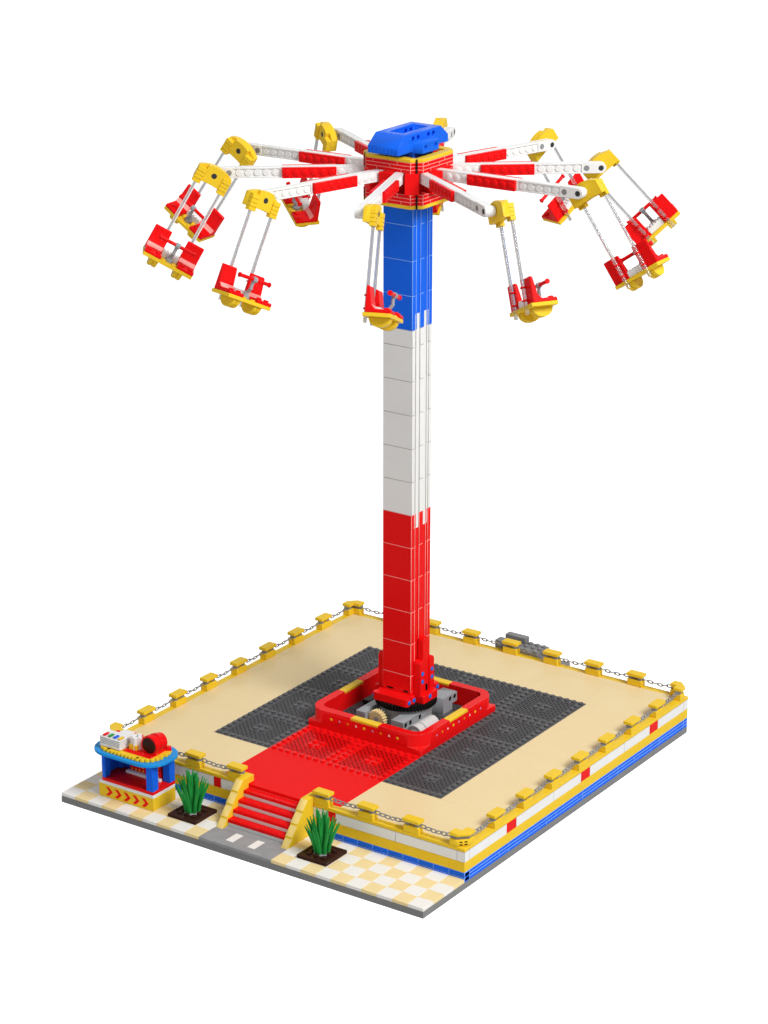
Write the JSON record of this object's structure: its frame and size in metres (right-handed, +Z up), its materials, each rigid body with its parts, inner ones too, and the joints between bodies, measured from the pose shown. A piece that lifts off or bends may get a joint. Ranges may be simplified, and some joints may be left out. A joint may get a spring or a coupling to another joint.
{
  "type": "toy swing ride",
  "caption": "Brick-built toy swing ride with seats hung from arms round a turning tower, on a fenced platform with stairs and a ticket kiosk.",
  "frame": {"origin": "on the floor under the middle of the plinth; the tower's axis stands 4 mm to the right", "axes": "+Z up, -Y towards the stairs and forecourt, +X to the right seen from the front"},
  "size_m": [0.4812, 0.5082, 0.6064],
  "materials": {
    "dark_grey": "moulded gloss",
    "tan": "moulded gloss",
    "paving": "moulded gloss",
    "blue": "moulded gloss",
    "yellow": "moulded gloss",
    "white": "moulded gloss",
    "red": "moulded gloss",
    "grey": "moulded gloss",
    "black": "moulded gloss",
    "azure": "moulded gloss",
    "brown": "moulded gloss",
    "leaf_green": "moulded gloss"
  },
  "bodies": {
    "base": {"base_plate": "dark_grey", "dark_mats": "dark_grey", "power_box": "dark_grey", "deck_tiles": "tan", "forecourt_paving": "paving", "blue_course": "blue", "kiosk_columns": "blue", "yellow_course": "yellow", "ring_marks": "yellow", "stair_stringers": "yellow", "kiosk_base": "yellow", "fence_front_left": "yellow", "fence_front_right": "yellow", "fence_right": "yellow", "fence_back": "yellow", "fence_left": "yellow", "white_course": "white", "kiosk_display": "white", "course_markers": "red", "carpet": "red", "stair_flight": "red", "ring_wall": "red", "kiosk_counter": "red", "fence_chains": "grey", "gearbox": "grey", "kiosk_roof": "azure", "planter_trays": "brown", "planter_bushes": "leaf_green"},
    "rotor": {"turntable_ring": "black", "tower_foot": "red", "tower_red": "red", "tower_white": "white", "tower_blue": "blue", "hub_trims": "yellow", "hub_lower": "red", "hub_upper": "red", "crown": "blue", "arm_beams": "white", "arm_cheeks": "red"},
    "drive_gear": {"drive_gear": "tan"},
    "swing_01": {"swing_01_carrier": "yellow", "swing_01_seats": "red"},
    "swing_02": {"swing_02_carrier": "yellow", "swing_02_seats": "red"},
    "swing_03": {"swing_03_carrier": "yellow", "swing_03_seats": "red"},
    "swing_04": {"swing_04_carrier": "yellow", "swing_04_seats": "red"},
    "swing_05": {"swing_05_carrier": "yellow", "swing_05_seats": "red"},
    "swing_06": {"swing_06_carrier": "yellow", "swing_06_seats": "red"},
    "swing_07": {"swing_07_carrier": "yellow", "swing_07_seats": "red"},
    "swing_08": {"swing_08_carrier": "yellow", "swing_08_seats": "red"},
    "swing_09": {"swing_09_carrier": "yellow", "swing_09_seats": "red"},
    "swing_10": {"swing_10_carrier": "yellow", "swing_10_seats": "red"}
  },
  "joints": [
    {"name": "tower_spin", "type": "hinge", "parent": "base", "child": "rotor", "pos_m": [0.004, 0, 0.0576], "axis": [0, 0, 1], "continuous": true},
    {"name": "drive_gear_spin", "type": "hinge", "parent": "base", "child": "drive_gear", "pos_m": [-0.006, -0.0328, 0.048], "axis": [0, 1, 0], "continuous": true},
    {"name": "swing_01_tilt", "type": "hinge", "parent": "rotor", "child": "swing_01", "pos_m": [0.17582, 0.0078, 0.5696], "axis": [0.0454, -0.999, 0], "range_deg": [-55, 25]},
    {"name": "swing_02_tilt", "type": "hinge", "parent": "rotor", "child": "swing_02", "pos_m": [0.13842, 0.10731, 0.5696], "axis": [0.6239, -0.7815, 0], "range_deg": [-63, 17]},
    {"name": "swing_03_tilt", "type": "hinge", "parent": "rotor", "child": "swing_03", "pos_m": [0.04968, 0.16582, 0.5696], "axis": [0.9641, -0.2656, 0], "range_deg": [-56, 24]},
    {"name": "swing_04_tilt", "type": "hinge", "parent": "rotor", "child": "swing_04", "pos_m": [-0.05652, 0.161, 0.5696], "axis": [0.9361, 0.3518, 0], "range_deg": [-50, 30]},
    {"name": "swing_05_tilt", "type": "hinge", "parent": "rotor", "child": "swing_05", "pos_m": [-0.13959, 0.09468, 0.5696], "axis": [0.5505, 0.8348, 0], "range_deg": [-43, 37]},
    {"name": "swing_06_tilt", "type": "hinge", "parent": "rotor", "child": "swing_06", "pos_m": [-0.16782, -0.0078, 0.5696], "axis": [-0.0454, 0.999, 0], "range_deg": [-55, 25]},
    {"name": "swing_07_tilt", "type": "hinge", "parent": "rotor", "child": "swing_07", "pos_m": [-0.13042, -0.10731, 0.5696], "axis": [-0.6239, 0.7815, 0], "range_deg": [-50, 30]},
    {"name": "swing_08_tilt", "type": "hinge", "parent": "rotor", "child": "swing_08", "pos_m": [-0.04168, -0.16582, 0.5696], "axis": [-0.9641, 0.2656, 0], "range_deg": [-45, 35]},
    {"name": "swing_09_tilt", "type": "hinge", "parent": "rotor", "child": "swing_09", "pos_m": [0.06452, -0.161, 0.5696], "axis": [-0.9361, -0.3518, 0], "range_deg": [-41, 39]},
    {"name": "swing_10_tilt", "type": "hinge", "parent": "rotor", "child": "swing_10", "pos_m": [0.14759, -0.09468, 0.5696], "axis": [-0.5505, -0.8348, 0], "range_deg": [-45, 35]}
  ],
  "couplings": [
    {"joint": "drive_gear_spin", "follows": "tower_spin", "ratio": 2.8}
  ]
}
